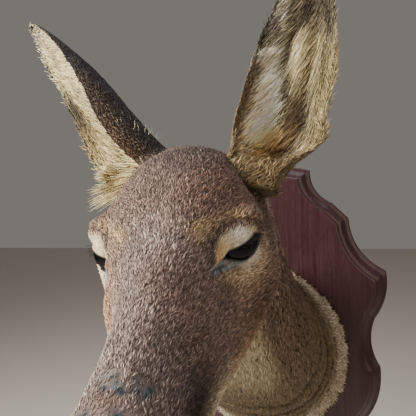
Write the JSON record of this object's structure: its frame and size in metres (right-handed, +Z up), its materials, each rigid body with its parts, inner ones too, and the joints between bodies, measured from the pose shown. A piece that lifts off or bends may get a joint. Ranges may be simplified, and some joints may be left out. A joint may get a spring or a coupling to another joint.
{
  "type": "deer head mount",
  "caption": "Deer head and neck with long cupped ears and glass eyes, mounted on a moulded shield-shaped wall board; a still, life-size display model.",
  "frame": {"origin": "on the board's back face, at the middle of its width and level with the widest place of the neck's end, 262 mm below the top of the board", "axes": "+Y into the wall, out of the board's back; -Y the way the animal looks; +X the animal's left; +Z up"},
  "size_m": [0.357, 0.5783, 0.6808],
  "materials": {
    "board_wood": "dark red-brown stain under satin lacquer",
    "coat": "short dense brown hair with pale tips",
    "ear_coat": "short dark hair outside, long cream hair inside",
    "nose_skin": "bare blackish pebbled skin",
    "eye_glass": "dark brown glass eye, polished"
  },
  "bodies": {
    "root": {"board": "board_wood", "neck": "coat", "head": "coat", "muzzle": "coat", "lower_jaw": "coat", "nose": "nose_skin", "ear_left": "ear_coat", "ear_right": "ear_coat", "eye_left": "eye_glass", "eye_right": "eye_glass"}
  },
  "joints": []
}
